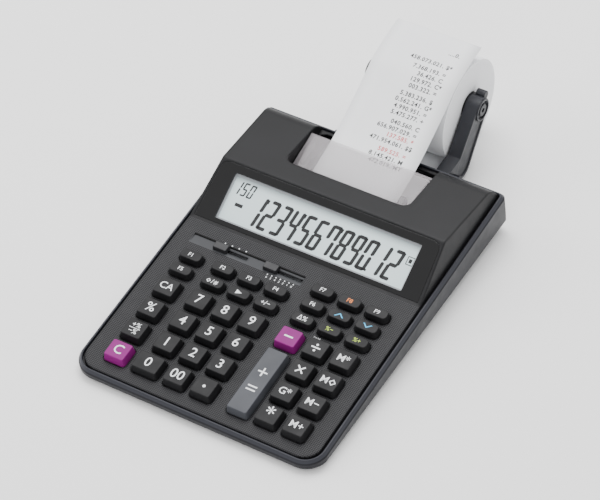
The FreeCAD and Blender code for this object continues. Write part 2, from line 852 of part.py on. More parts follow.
def arm_lugs(body):
    """Two lugs on the rear wall, each with the hinge pin of one arm."""
    outer = size("arm_inside").value + size("arm_thick").value + 0.6
    pivot = Vector(size("pivot_y").value, size("pivot_z").value, 0)
    root = Vector(size("case_rear").value - 1.5, size("pivot_z").value + 1.0, 0)
    for side, name in ((1, "right"), (-1, "left")):
        start = outer if side > 0 else -outer - 4.0
        lug = new_sketch(body, "lug_" + name, "YZ_Plane",
                         FreeCAD.Placement(Vector(0, 0, start), FreeCAD.Rotation()))
        add_strap(lug, root, 5.0, pivot, 4.6)
        pad(body, lug, 4.0)
        inner = size("arm_inside").value - 0.4
        begin = inner if side > 0 else -outer
        pin = new_sketch(body, "pin_" + name, "YZ_Plane",
                         FreeCAD.Placement(Vector(0, 0, begin), FreeCAD.Rotation()))
        add_circle(pin, size("pivot_y"), size("pivot_z"), size("pin_radius"))
        pad(body, pin, outer - inner)


# ---------------------------------------------------------------- switches

def switch_knob(name, x):
    """A slide switch's knob, with ribs of its own height and a stem in the slot."""
    place = DECK.multiply(FreeCAD.Placement(Vector(x, size("switch_band").value, 0),
                                            FreeCAD.Rotation()))
    body = new_body(name, place)
    half_width = size("knob_width") * 0.5
    half_depth = size("knob_depth") * 0.5
    level = size("deck_level")
    cap = new_sketch(body, "cap", "XY_Plane", at_height(level + 0.15))
    add_rounded(cap, -half_width, half_width, -half_depth, half_depth, 0.9)
    pad(body, cap, 2.5, taper=-8.0)

    def on_top(edge):
        return edge.BoundBox.ZMin > level.value + 2.64

    dress_edges(body, "Fillet", "top_edge", on_top, 0.4)
    stem = new_sketch(body, "stem", "XY_Plane", at_height(level - 3.4))
    add_rectangle(stem, -3.0, 3.0, -0.9, 0.9)
    pad(body, stem, 3.8)
    shoe = new_sketch(body, "shoe", "XY_Plane", at_height(level - 3.4))
    add_rectangle(shoe, -3.6, 3.6, -2.4, 2.4)
    pad(body, shoe, 1.2)
    return body


# ---------------------------------------------------------------- inside

def keypad_mat():
    """Rubber sheet with one dome under each key."""
    body = new_body("keypad_mat")
    top = size("mat_top")
    sheet = new_sketch(body, "sheet", "XY_Plane", at_height(top - size("mat_thick")))
    add_rounded(sheet, -68.0, 68.5, -8.0, 96.0, 3.0)
    pad(body, sheet, size("mat_thick"))
    domes = new_sketch(body, "domes", "XY_Plane", at_height(top - 0.05))
    for key in KEYS:
        wide = key.top.value > -0.1
        add_circle(domes, key.x, key.y, 3.2 if wide else 1.6, held=False)
    pad(body, domes, 4.6, taper=-8.0)
    holes = new_sketch(body, "post_holes", "XY_Plane", at_height(top + 1))
    for x, y in POSTS:
        add_circle(holes, x, y, 3.0)
    pocket(body, holes, 3.0)
    return body


def main_board():
    """Circuit board under the rubber mat."""
    body = new_body("main_board")
    top = size("mat_top") - size("mat_thick")
    board = new_sketch(body, "board", "XY_Plane", at_height(top - size("board_thick")))
    add_rounded(board, -69.0, 69.5, -8.5, 97.0, 2.0)
    pad(body, board, size("board_thick"))
    holes = new_sketch(body, "post_holes", "XY_Plane", at_height(top + 1))
    for x, y in POSTS:
        add_circle(holes, x, y, 3.0)
    pocket(body, holes, 3.0)
    return body


def dc_jack():
    """Power socket behind the rear wall: a block with a round nose in the wall's hole."""
    body = new_body("dc_jack")
    rear = size("case_rear").value
    nose = new_sketch(body, "nose", "XZ_Plane",
                      FreeCAD.Placement(Vector(0, 0, -rear + 0.6), FreeCAD.Rotation()))
    add_circle(nose, -60.0, -17.0, 4.0)
    pad(body, nose, 4.0)
    block = new_sketch(body, "block", "XZ_Plane",
                       FreeCAD.Placement(Vector(0, 0, -rear + 3.0), FreeCAD.Rotation()))
    add_rectangle(block, -65.0, -55.0, -22.5, -11.5)
    pad(body, block, 11.0)
    bore = new_sketch(body, "bore", "XZ_Plane",
                      FreeCAD.Placement(Vector(0, 0, -rear), FreeCAD.Rotation()))
    add_circle(bore, -60.0, -17.0, 2.8)
    pocket(body, bore, 9.0, reverse=True)
    return body


def printer_unit():
    """Printer chassis: a base and two side plates that carry the platen's shaft."""
    body = new_body("printer_unit")
    base = new_sketch(body, "base", "XY_Plane", at_height(-24.9))
    add_rectangle(base, -38.0, 38.0, 158.5, 194.0)
    pad(body, base, 1.2)
    shelf = new_sketch(body, "shelf", "XY_Plane", at_height(-23.95))
    add_rectangle(shelf, -38.0, 38.0, 148.5, 160.0)
    pad(body, shelf, 1.2)
    for name, x in (("right", 36.2), ("left", -37.8)):
        plate = new_sketch(body, "plate_" + name, "YZ_Plane",
                           FreeCAD.Placement(Vector(0, 0, x), FreeCAD.Rotation()))
        add_polygon(plate, [(159.5, -24.6), (192.0, -24.6), (192.0, -14.0), (176.0, -6.6),
                            (159.5, -6.6)])
        pad(body, plate, 1.6)
    holes = new_sketch(body, "bearings", "YZ_Plane")
    add_circle(holes, size("platen_y"), size("platen_z"), size("shaft_radius") + 0.06)
    pocket(body, holes, 90.0, middle=True)
    # The motor and the type wheels lie side by side on the shelf.
    motor = new_sketch(body, "motor", "YZ_Plane",
                       FreeCAD.Placement(Vector(0, 0, -30.0), FreeCAD.Rotation()))
    add_circle(motor, 153.0, -17.6, 5.4)
    pad(body, motor, 26.0)
    wheels = new_sketch(body, "type_wheels", "YZ_Plane",
                        FreeCAD.Placement(Vector(0, 0, -1.0), FreeCAD.Rotation()))
    add_circle(wheels, 153.0, -17.6, 5.4)
    pad(body, wheels, 33.0)
    return body


def feed_roller():
    """Rubber platen on a steel shaft, turning in the printer's side plates."""
    body = new_body("feed_roller")
    rubber = new_sketch(body, "rubber", "YZ_Plane")
    add_circle(rubber, size("platen_y"), size("platen_z"), size("platen_radius"))
    pad(body, rubber, 60.0, middle=True)
    shaft = new_sketch(body, "shaft", "YZ_Plane")
    add_circle(shaft, size("platen_y"), size("platen_z"), size("shaft_radius"))
    pad(body, shaft, 79.0, middle=True)
    return body


# ---------------------------------------------------------------- paper path

EXIT_SLOPE = math.radians(10.2)


def paper_cover():
    """Clear cover in the recess: a plate above the paper, with a flange each side."""
    body = new_body("printer_cover")
    side = size("recess_half").value - 0.4
    plate = new_sketch(body, "plate", "YZ_Plane")
    lead = math.tan(EXIT_SLOPE)

    def over_paper(y):
        return -3.2 + lead * (y - 163.0)

    add_polygon(plate, [
        (157.4, over_paper(157.4) + 0.45),
        (187.2, over_paper(187.2) + 0.45),
        (187.2, over_paper(187.2) + 1.65),
        (157.4, over_paper(157.4) + 1.65),
    ])
    pad(body, plate, 2 * side, middle=True)
    up = Vector(0, 0, 1)
    dress_edges(body, "Fillet", "front_corners",
                lambda edge: runs_along(edge, up) and middle_of(edge).y < 160, 5.6)
    for name, x in (("right", 39.6), ("left", -41.2)):
        skirt = new_sketch(body, "skirt_" + name, "YZ_Plane",
                           FreeCAD.Placement(Vector(0, 0, x), FreeCAD.Rotation()))
        add_polygon(skirt, [
            (164.0, over_paper(164.0) + 0.5),
            (164.0, -7.0),
            (187.0, -7.0),
            (187.0, over_paper(187.0) + 0.5),
        ])
        pad(body, skirt, 1.6)
    return body


def paper_centreline():
    """Points along the paper, from its cut end to the underside of the roll."""
    free = [(273.0, 25.9), (264.5, 25.6), (256.0, 24.8), (248.0, 23.7), (240.6, 22.0),
            (233.0, 18.6), (223.0, 13.9), (211.0, 9.0), (199.0, 4.5)]
    points = [Vector(0, y, z) for y, z in free]
    lead = math.tan(EXIT_SLOPE)
    for y in (187.0, 178.0):
        points.append(Vector(0, y, -3.2 + lead * (y - 163.0)))
    wrap = size("platen_radius").value + 0.45
    middle = Vector(0, size("platen_y").value, size("platen_z").value)
    steps = 9
    for step in range(steps + 1):
        angle = math.radians(100.2 + (266.0 - 100.2) * step / steps)
        points.append(middle + Vector(0, math.cos(angle), math.sin(angle)) * wrap)
    points.append(Vector(0, 180.0, -18.6))
    points.append(Vector(0, 190.0, -19.2))
    inlet = Vector(0, size("case_rear").value - 1.0, size("inlet_z").value - 0.4)
    points.append(inlet)
    # The last straight is tangent to the roll's underside.
    hub = Vector(0, size("roll_y").value, size("roll_z").value)
    reach = size("roll_radius").value + 0.35
    to_hub = hub - inlet
    heading = math.atan2(to_hub.z, to_hub.y) - math.asin(reach / to_hub.Length)
    run = math.sqrt(to_hub.Length ** 2 - reach ** 2)
    way = Vector(0, math.cos(heading), math.sin(heading))
    for share in (0.3, 0.65, 0.97):
        points.append(inlet + way * (run * share))
    return points


def paper_strip():
    """The printed paper: one thin sheet from its cut end, through the printer, to the roll."""
    points = paper_centreline()
    half = size("paper_thick").value / 2
    above = []
    below = []
    for index, point in enumerate(points):
        before = points[max(index - 1, 0)]
        after = points[min(index + 1, len(points) - 1)]
        way = after - before
        normal = Vector(0, -way.z, way.y)
        normal.normalize()
        above.append(point + normal * half)
        below.append(point - normal * half)
    upper = Part.BSplineCurve()
    upper.interpolate(above)
    lower = Part.BSplineCurve()
    lower.interpolate(below)
    outline = Part.Wire([
        upper.toShape(),
        Part.makeLine(above[-1], below[-1]),
        lower.toShape(),
        Part.makeLine(below[0], above[0]),
    ])
    width = size("paper_width").value
    sheet = Part.Face(outline)
    sheet.translate(Vector(-width / 2, 0, 0))
    strip = DOC.addObject("Part::Feature", "paper_strip")
    strip.Label = "paper_strip"
    strip.Shape = sheet.extrude(Vector(width, 0, 0))
    strip.Placement = DECK
    return strip


def paper_roll():
    body = new_body("paper_roll")
    roll = new_sketch(body, "roll", "YZ_Plane")
    add_circle(roll, size("roll_y"), size("roll_z"), size("roll_radius"))
    add_circle(roll, size("roll_y"), size("roll_z"), size("core_radius"))
    pad(body, roll, size("paper_width"), middle=True)
    return body


def roll_arms():
    """Two mirrored arms, each with a spindle that reaches into the roll's core."""
    body = new_body("roll_arms")
    head = Vector(size("spindle_y").value, size("spindle_z").value, 0)
    elbow = Vector(size("elbow_y").value, size("elbow_z").value, 0)
    pivot = Vector(size("pivot_y").value, size("pivot_z").value, 0)
    inside = size("arm_inside").value
    thick = size("arm_thick").value
    straps = [
        ("upper", head, size("head_radius").value, elbow, size("elbow_radius").value),
        ("lower", elbow, size("elbow_radius").value, pivot, size("pivot_radius").value),
    ]
    for side, name in ((1, "right"), (-1, "left")):
        start = inside if side > 0 else -inside - thick
        for part, near, near_radius, far, far_radius in straps:
            strap = new_sketch(body, part + "_" + name, "YZ_Plane",
                               FreeCAD.Placement(Vector(0, 0, start), FreeCAD.Rotation()))
            add_strap(strap, near, near_radius, far, far_radius)
            pad(body, strap, thick)
        begin = inside - 7.5 if side > 0 else -inside - 1.0
        spindle = new_sketch(body, "spindle_" + name, "YZ_Plane",
                             FreeCAD.Placement(Vector(0, 0, begin), FreeCAD.Rotation()))
        add_circle(spindle, size("spindle_y"), size("spindle_z"), size("spindle_radius"))
        pad(body, spindle, 8.5)
        # The outer face is dished inside a narrow rim.
        face = start + thick if side > 0 else start
        dish = new_sketch(body, "dish_" + name, "YZ_Plane",
                          FreeCAD.Placement(Vector(0, 0, face), FreeCAD.Rotation()))
        add_strap(dish, head, size("head_radius").value - 1.7, elbow,
                  size("elbow_radius").value - 1.7)
        pocket(body, dish, 0.7, reverse=side < 0)
    bore = new_sketch(body, "hinge_bore", "YZ_Plane")
    add_circle(bore, size("pivot_y"), size("pivot_z"), size("pin_radius") + size("pin_fit"))
    pocket(body, bore, 120.0, middle=True)
    return body


# ---------------------------------------------------------------- underside

def battery_cover():
    """Flat cover of the battery bay, with a grip rib, in the case's underside."""
    start = size("case_front").value
    body = new_body("battery_cover", DECK.multiply(case_tilt(0.0)))
    plate = new_sketch(body, "plate", "XY_Plane", at_height(0.05))
    length = DOOR["back"] - start
    add_rectangle(plate, DOOR["left"], DOOR["right"], DOOR["front"] - start, length)
    pad(body, plate, DOOR["thick"] - 0.1)
    grip = new_sketch(body, "grip", "XY_Plane", at_height(-0.5))
    for step in range(4):
        low = length - 10.0 + step * 2.0
        add_rectangle(grip, -52.0, -33.0, low, low + 0.9)
    pad(body, grip, 0.6)
    return body


def rubber_feet(case):
    """Four feet with flat bottoms on Z = 0, shaped to the tilted underside."""
    feet = []
    for name, x, y in (("front_right", 62.0, -8.0), ("front_left", -62.0, -8.0),
                       ("rear_right", 62.0, 178.0), ("rear_left", -62.0, 178.0)):
        spot = DECK.multVec(Vector(x, y, case_bottom(y)))
        disc = DOC.addObject("Part::Cylinder", "disc_" + name)
        disc.Radius = 6.0
        disc.Height = spot.z + 1.0
        disc.Placement = FreeCAD.Placement(Vector(spot.x, spot.y, 0), FreeCAD.Rotation())
        foot = DOC.addObject("Part::Cut", "foot_" + name)
        foot.Base = disc
        foot.Tool = case
        feet.append(foot)
    group = DOC.addObject("Part::Compound", "rubber_feet")
    group.Label = "rubber_feet"
    group.Links = feet
    return group


# ---------------------------------------------------------------- the object

def build():
    case = lower_case()
    parts = [
        case,
        upper_case(),
        display_panel(),
        lcd_module(),
        keypad_mat(),
        main_board(),
        dc_jack(),
        printer_unit(),
        feed_roller(),
        paper_cover(),
        paper_strip(),
        paper_roll(),
        roll_arms(),
        battery_cover(),
        rubber_feet(case),
    ]
    for name, (x, travel) in SWITCHES.items():
        parts.append(switch_knob(name, x))
    for key in KEYS:
        parts.append(key_body(key))
    DOC.recompute()
    return parts


def check(parts):
    for item in DOC.Objects:
        if "Invalid" in item.State or "Error" in item.State:
            raise RuntimeError(item.Label + " is " + str(item.State))
    for part in parts:
        if part.Shape.isNull() or not part.Shape.isValid():
            raise RuntimeError(part.Label + " has no valid shape")


def export(parts):
    os.makedirs("parts", exist_ok=True)
    for part in parts:
        part.Shape.exportStep(os.path.join("parts", part.Label + ".step"))
        print("%-24s %10.1f mm3, %d solids" % (part.Label, part.Shape.Volume,
                                               len(part.Shape.Solids)))
    print(len(parts), "parts")


PARTS = build()
check(PARTS)
export(PARTS)
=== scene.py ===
import math
import random

import bpy
from mathutils import Matrix, Vector


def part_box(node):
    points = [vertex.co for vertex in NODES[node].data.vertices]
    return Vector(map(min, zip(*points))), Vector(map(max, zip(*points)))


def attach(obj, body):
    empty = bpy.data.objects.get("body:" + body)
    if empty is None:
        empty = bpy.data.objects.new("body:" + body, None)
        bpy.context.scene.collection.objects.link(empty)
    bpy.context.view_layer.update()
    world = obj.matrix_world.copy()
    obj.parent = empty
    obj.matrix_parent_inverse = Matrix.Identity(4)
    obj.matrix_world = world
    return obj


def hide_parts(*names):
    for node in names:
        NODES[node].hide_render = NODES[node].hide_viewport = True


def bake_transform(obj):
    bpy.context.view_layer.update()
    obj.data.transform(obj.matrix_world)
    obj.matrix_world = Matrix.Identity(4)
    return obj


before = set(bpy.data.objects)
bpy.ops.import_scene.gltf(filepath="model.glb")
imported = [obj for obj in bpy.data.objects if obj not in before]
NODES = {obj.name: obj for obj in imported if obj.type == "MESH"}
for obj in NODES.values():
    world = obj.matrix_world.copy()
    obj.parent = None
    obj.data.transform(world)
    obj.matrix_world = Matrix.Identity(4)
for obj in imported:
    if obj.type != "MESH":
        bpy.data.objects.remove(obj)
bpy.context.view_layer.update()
MM = 0.001

# The deck's own frame: X right, Y up the deck, Z off it, zero on the key tops.
SLOPE = math.radians(6.0)
DECK_ORIGIN = Vector((0.0, -0.1333895, 0.0155))
DECK = Matrix.Translation(DECK_ORIGIN) @ Matrix.Rotation(SLOPE, 4, "X")
DECK_LEVEL = -5.0
DISPLAY_TILT = math.radians(24.0)
DISPLAY_START = Vector((0.0, 0.106, -0.005))
DISPLAY = DECK @ Matrix.Translation(DISPLAY_START) @ Matrix.Rotation(DISPLAY_TILT, 4, "X")
INK = 0.03


def srgb(red, green, blue):
    """An 8-bit screen colour as linear light."""
    out = []
    for value in (red, green, blue):
        share = value / 255.0
        out.append(share / 12.92 if share < 0.04045 else ((share + 0.055) / 1.055) ** 2.4)
    return (out[0], out[1], out[2], 1.0)


def shade(colour, factor):
    return (colour[0] * factor, colour[1] * factor, colour[2] * factor, 1.0)


# ---------------------------------------------------------------- materials

class Look:
    """A node material with short ways to add and join nodes."""

    def __init__(self, name):
        self.material = bpy.data.materials.new(name)
        self.material.use_nodes = True
        self.tree = self.material.node_tree
        self.bsdf = self.tree.nodes["Principled BSDF"]
        place = self.tree.nodes.new("ShaderNodeTexCoord")
        self.place = place.outputs["Object"]

    def put(self, node, index, value):
        if isinstance(value, bpy.types.NodeSocket):
            self.tree.links.new(value, node.inputs[index])
        elif value is not None:
            node.inputs[index].default_value = value

    def sums(self, operation, first, second=None, third=None):
        node = self.tree.nodes.new("ShaderNodeMath")
        node.operation = operation
        self.put(node, 0, first)
        self.put(node, 1, second)
        self.put(node, 2, third)
        return node.outputs[0]

    def noise(self, scale, detail=3.0, rough=0.5, place=None):
        node = self.tree.nodes.new("ShaderNodeTexNoise")
        self.put(node, "Vector", place or self.place)
        self.put(node, "Scale", scale)
        self.put(node, "Detail", detail)
        self.put(node, "Roughness", rough)
        return node.outputs["Fac"]

    def spread(self, value, low, high, start=0.3, end=0.7):
        node = self.tree.nodes.new("ShaderNodeMapRange")
        self.put(node, "Value", value)
        self.put(node, "From Min", start)
        self.put(node, "From Max", end)
        self.put(node, "To Min", low)
        self.put(node, "To Max", high)
        return node.outputs["Result"]

    def mix(self, share, first, second):
        node = self.tree.nodes.new("ShaderNodeMix")
        node.data_type = "RGBA"
        self.put(node, 0, share)
        self.put(node, 6, first)
        self.put(node, 7, second)
        return node.outputs[2]

    def local(self, matrix):
        """X, Y and Z of the place, in metres, in the frame of a matrix."""
        turn = matrix.inverted()
        axes = []
        split = self.tree.nodes.new("ShaderNodeSeparateXYZ")
        self.put(split, 0, self.place)
        for row in range(3):
            total = self.sums("MULTIPLY", split.outputs[0], turn[row][0])
            total = self.sums("MULTIPLY_ADD", split.outputs[1], turn[row][1], total)
            total = self.sums("MULTIPLY_ADD", split.outputs[2], turn[row][2], total)
            axes.append(self.sums("ADD", total, turn[row][3]))
        return axes

    def bump(self, height, strength, distance, normal=None):
        node = self.tree.nodes.new("ShaderNodeBump")
        self.put(node, "Height", height)
        self.put(node, "Strength", strength)
        self.put(node, "Distance", distance)
        self.put(node, "Normal", normal)
        return node.outputs[0]

    def rounded(self, radius):
        node = self.tree.nodes.new("ShaderNodeBevel")
        node.samples = 6
        self.put(node, "Radius", radius)
        return node.outputs[0]

    def between(self, value, low, high):
        return self.sums("MULTIPLY", self.sums("GREATER_THAN", value, low),
                         self.sums("LESS_THAN", value, high))

    def finish(self, colour, rough, normal=None, **rest):
        self.put(self.bsdf, "Base Color", colour)
        self.put(self.bsdf, "Roughness", rough)
        self.put(self.bsdf, "Normal", normal)
        for name, value in rest.items():
            self.put(self.bsdf, name.replace("_", " "), value)
        return self.material


def moulded(name, colour, rough=0.5, grain=900.0, depth=0.02, edge=0.4, **rest):
    """Moulded plastic: fine grain, slow colour drift and softly rounded edges."""
    look = Look(name)
    drift = look.spread(look.noise(45.0, 4.0), 0.0, 1.0)
    tint = look.mix(drift, shade(colour, 0.62), shade(colour, 0.8))
    fine = look.noise(grain * 3.0, 2.0)
    shine = look.spread(look.noise(130.0, 3.0), rough - 0.05, rough + 0.06)
    normal = look.bump(fine, 0.25, depth * MM, look.rounded(edge * MM))
    rest.setdefault("Specular_IOR_Level", 0.3)
    return look.finish(tint, shine, normal, **rest)


def deck_plastic():
    """The upper case: woven dimples on the deck, smooth on the block and the switch band; the
    dimples are painted dark in their pits and light on their tops: painted shade and highlight.
    """
    look = Look("upper_plastic")
    x, y, z = look.local(DECK)
    pitch = 1.15 * MM
    along = look.sums("MULTIPLY", look.sums("ADD", x, y), math.pi / pitch)
    across = look.sums("MULTIPLY", look.sums("SUBTRACT", x, y), math.pi / pitch)
    weave = look.sums("MULTIPLY", look.sums("SINE", along), look.sums("SINE", across))
    on_deck = look.between(y, -1.0, 0.1055)
    level = look.between(z, -0.0062, -0.0045)
    band = look.sums("MULTIPLY", look.between(x, -0.0682, 0.0082),
                     look.between(y, 0.0884, 0.0956))
    line = look.sums("MULTIPLY", look.between(x, -0.0682, 0.0082),
                     look.between(y, 0.0950, 0.0958))
    woven = look.sums("MULTIPLY", look.sums("MULTIPLY", on_deck, level),
                      look.sums("SUBTRACT", 1.0, band))
    relief = look.sums("MULTIPLY", weave, woven)
    drift = look.spread(look.noise(30.0, 4.0), 0.0, 1.0)
    plain = look.mix(drift, srgb(20, 20, 22), srgb(25, 25, 27))
    # Painted shade and highlight: each dimple's colour follows its relief height, near black in the
    # pits and lighter on the tops.
    dimple = look.sums("MULTIPLY", look.spread(weave, 0.0, 1.0, -0.5, 0.5), woven)
    shaded_dimples = look.mix(dimple, srgb(6, 6, 7), srgb(50, 50, 53))
    colour = look.mix(woven, plain, shaded_dimples)
    colour = look.mix(band, colour, srgb(58, 59, 62))
    colour = look.mix(line, colour, srgb(6, 6, 7))
    grain = look.bump(look.noise(2600.0, 2.0), 0.2, 0.02 * MM, look.rounded(2.2 * MM))
    normal = look.bump(relief, 0.6, 0.14 * MM, grain)
    shine = look.spread(look.noise(120.0, 3.0), 0.4, 0.48)
    return look.finish(colour, shine, normal, Specular_IOR_Level=0.22)


def lower_plastic():
    look = Look("lower_plastic")
    # Painted light: the up-facing lip is coloured lighter than the wall below it, as its top face
    # catches the lamps.
    lit_lip = look.between(look.local(DECK)[2], -0.00705, -0.0050)
    drift = look.spread(look.noise(40.0, 4.0), 0.0, 1.0)
    wall = look.mix(drift, srgb(15, 15, 20), srgb(20, 20, 27))
    colour = look.mix(lit_lip, wall, srgb(42, 43, 50))
    normal = look.bump(look.noise(2400.0, 2.0), 0.2, 0.02 * MM, look.rounded(0.7 * MM))
    shine = look.spread(look.noise(110.0, 3.0), 0.38, 0.47)
    return look.finish(colour, shine, normal, Specular_IOR_Level=0.24)


def display_glass():
    """Pale display behind its printed silver frame."""
    look = Look("lcd_glass")
    height, depth = look.local(DISPLAY)[1:]
    low = look.sums("LESS_THAN", depth, -0.00225)
    drift = look.spread(look.noise(25.0, 2.0), 0.0, 1.0)
    pale = look.mix(drift, srgb(203, 218, 221), srgb(211, 226, 228))
    shadow = look.spread(height, 0.0, 1.0, 0.0285, 0.0325)
    pale = look.mix(look.sums("MULTIPLY", shadow, 0.55), pale, srgb(120, 130, 134))
    silver = look.mix(drift, srgb(150, 154, 158), srgb(166, 170, 174))
    colour = look.mix(low, silver, pale)
    shine = look.spread(low, 0.38, 0.2, 0.0, 1.0)
    normal = look.bump(look.noise(900.0, 2.0), 0.05, 0.01 * MM)
    return look.finish(colour, shine, normal)


def paper_look(name, colour, centre=None):
    """Fibrous paper; a roll also shows its windings and its core on the sides."""
    look = Look(name)
    fibre = look.noise(1500.0, 6.0, 0.7)
    cloud = look.spread(look.noise(60.0, 3.0), 0.0, 1.0)
    tint = look.mix(cloud, shade(colour, 0.97), colour)
    height = fibre
    if centre is not None:
        split = look.tree.nodes.new("ShaderNodeSeparateXYZ")
        look.put(split, 0, look.place)
        y = look.sums("SUBTRACT", split.outputs[1], centre.y)
        z = look.sums("SUBTRACT", split.outputs[2], centre.z)
        radius = look.sums("SQRT", look.sums("ADD", look.sums("MULTIPLY", y, y),
                                             look.sums("MULTIPLY", z, z)))
        wind = look.sums("SINE", look.sums("MULTIPLY", radius, 2 * math.pi / (0.7 * MM)))
        uneven = look.noise(900.0, 2.0)
        ring = look.sums("MULTIPLY", look.sums("ADD", wind, 1.0), uneven)
        inside = look.sums("LESS_THAN", radius, 0.0306)
        shown = look.sums("MULTIPLY", look.sums("MULTIPLY", ring, 0.16), inside)
        tint = look.mix(shown, tint, srgb(170, 172, 176))
        core = look.sums("LESS_THAN", radius, 0.0101)
        tint = look.mix(core, tint, srgb(150, 128, 102))
        height = look.sums("ADD", fibre, look.sums("MULTIPLY", ring, inside))
    normal = look.bump(height, 0.25, 0.03 * MM)
    return look.finish(tint, look.spread(fibre, 0.72, 0.86), normal)


def smoked():
    look = Look("clear_cover")
    drift = look.spread(look.noise(30.0, 2.0), 0.0, 1.0)
    tint = look.mix(drift, srgb(176, 170, 174), srgb(186, 180, 184))
    normal = look.bump(look.noise(60.0, 2.0), 0.03, 0.02 * MM)
    return look.finish(tint, look.spread(drift, 0.05, 0.09, 0.0, 1.0), normal,
                       Alpha=0.3, Specular_IOR_Level=0.5)


def ink(name, colour):
    look = Look(name)
    drift = look.spread(look.noise(800.0, 2.0), 0.0, 1.0)
    return look.finish(look.mix(drift, shade(colour, 0.94), colour),
                       look.spread(drift, 0.45, 0.55, 0.0, 1.0))


WHITE = ink("ink_white", srgb(236, 238, 240))
GREEN = ink("ink_green", srgb(176, 205, 60))
ORANGE = ink("ink_orange", srgb(232, 126, 40))
CYAN = ink("ink_cyan", srgb(60, 178, 226))
BLACK = ink("ink_black", srgb(14, 14, 18))
RED = ink("ink_red", srgb(205, 70, 76))
SEGMENT = ink("lcd_segment", srgb(10, 11, 14))
KEY_BLACK = moulded("key_black", srgb(30, 30, 32), 0.5, edge=0.3, Specular_IOR_Level=0.22)
KEY_MAGENTA = moulded("key_magenta", srgb(140, 20, 122), 0.46, edge=0.3,
                      Specular_IOR_Level=0.22)
KEY_GREY = moulded("key_grey", srgb(80, 82, 88), 0.46, edge=0.3, Specular_IOR_Level=0.25)
ARM = moulded("arm_plastic", srgb(44, 45, 51), 0.4, edge=0.8)
DARK = moulded("dark_plastic", srgb(18, 18, 20), 0.5)
STEEL = moulded("screw_steel", srgb(128, 130, 134), 0.32, Metallic=1.0)
PAPER = paper_look("printed_paper", srgb(242, 243, 245))


def roll_centre():
    low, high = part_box("paper_roll")
    return (Vector(low) + Vector(high)) / 2


def paint(node, material):
    mesh = NODES[node].data
    if mesh.materials:
        for index in range(len(mesh.materials)):
            mesh.materials[index] = material
    else:
        mesh.materials.append(material)


paint("upper_case", deck_plastic())
paint("lower_case", lower_plastic())
paint("battery_cover", moulded("cover_plastic", srgb(30, 31, 38), 0.44))
paint("display_panel", moulded("display_black", srgb(10, 10, 12), 0.1, depth=0.002,
                               Coat_Weight=0.25, Coat_Roughness=0.04))
paint("lcd_module", display_glass())
paint("keypad_mat", moulded("mat_rubber", srgb(150, 152, 156), 0.7))
paint("main_board", moulded("board_laminate", srgb(36, 104, 62), 0.35, depth=0.04))
paint("dc_jack", DARK)
paint("printer_unit", moulded("printer_plastic", srgb(30, 30, 33), 0.5))
paint("feed_roller", moulded("roller_rubber", srgb(46, 46, 48), 0.75))
paint("printer_cover", smoked())
paint("paper_roll", paper_look("roll_paper", srgb(240, 241, 243), roll_centre()))
paint("roll_arms", ARM)
paint("rubber_feet", moulded("foot_rubber", srgb(34, 34, 35), 0.85))
paint("function_switch", moulded("knob_plastic", srgb(46, 46, 49), 0.42))
paint("decimal_switch", moulded("knob_plastic_two", srgb(46, 46, 49), 0.42))


# ---------------------------------------------------------------- mesh helpers

def add_mesh(name, points, faces, material, body, smooth=False):
    mesh = bpy.data.meshes.new(name)
    mesh.from_pydata([tuple(point) for point in points], [], faces)
    mesh.materials.append(material)
    mesh.update()
    piece = bpy.data.objects.new(name, mesh)
    bpy.context.scene.collection.objects.link(piece)
    if smooth:
        for polygon in mesh.polygons:
            polygon.use_smooth = True
    if body:
        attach(piece, body)
    return piece


def words_mesh(words, height, weight=0.012, align="CENTER", spacing=1.0):
    """Points in mm and faces of flat extruded lettering, centred on its origin."""
    curve = bpy.data.curves.new("words", "FONT")
    curve.body = words
    curve.size = height
    curve.align_x = align
    curve.align_y = "CENTER"
    curve.offset = weight * height
    curve.extrude = INK / 2
    curve.resolution_u = 3
    curve.space_character = spacing
    holder = bpy.data.objects.new("words", curve)
    bpy.context.scene.collection.objects.link(holder)
    bpy.context.view_layer.update()
    mesh = bpy.data.meshes.new_from_object(
        holder.evaluated_get(bpy.context.evaluated_depsgraph_get()))
    points = [vertex.co.copy() for vertex in mesh.vertices]
    faces = [tuple(polygon.vertices) for polygon in mesh.polygons]
    bpy.data.objects.remove(holder)
    bpy.data.curves.remove(curve)
    bpy.data.meshes.remove(mesh)
    return points, faces


def merge(parts):
    points = []
    faces = []
    for more, sides in parts:
        start = len(points)
        points.extend(more)
        faces.extend(tuple(index + start for index in side) for side in sides)
    return points, faces


def moved(part, x, y, z=0.0):
    points, faces = part
    return [point + Vector((x, y, z)) for point in points], faces


def slab(outline, low=-INK / 2, high=INK / 2):
    """A closed plate from a convex or simple outline, in mm."""
    count = len(outline)
    points = [Vector((x, y, low)) for x, y in outline]
    points += [Vector((x, y, high)) for x, y in outline]
    faces = [tuple(range(count - 1, -1, -1)), tuple(range(count, 2 * count))]
    for index in range(count):
        after = (index + 1) % count
        faces.append((index, after, after + count, index + count))
    return points, faces


def diamond(size, line):
    """An open square standing on its corner, made of four bars."""
    bars = []
    inner = size - line * 1.414
    corners = [(0, 1), (1, 0), (0, -1), (-1, 0)]
    for index, first in enumerate(corners):
        second = corners[(index + 1) % 4]
        bars.append(slab([(first[0] * size, first[1] * size),
                          (first[0] * inner, first[1] * inner),
                          (second[0] * inner, second[1] * inner),
                          (second[0] * size, second[1] * size)]))
    return merge(bars)


def chevron(width, rise, line, up):
    sign = 1 if up else -1
    left = slab([(-width, -rise * sign), (-width + line, -rise * sign), (0, (rise - line) * sign),
                 (0, rise * sign)][:: sign])
    right = slab([(width, -rise * sign), (0, rise * sign), (0, (rise - line) * sign),
                  (width - line, -rise * sign)][:: sign])
    return merge([left, right])


def printed(name, part, matrix, x, y, z, material, body):
    points, faces = moved(part, x, y, z)
    points = [matrix @ (point * MM) for point in points]
    return add_mesh(name, points, faces, material, body)


# ---------------------------------------------------------------- key legends

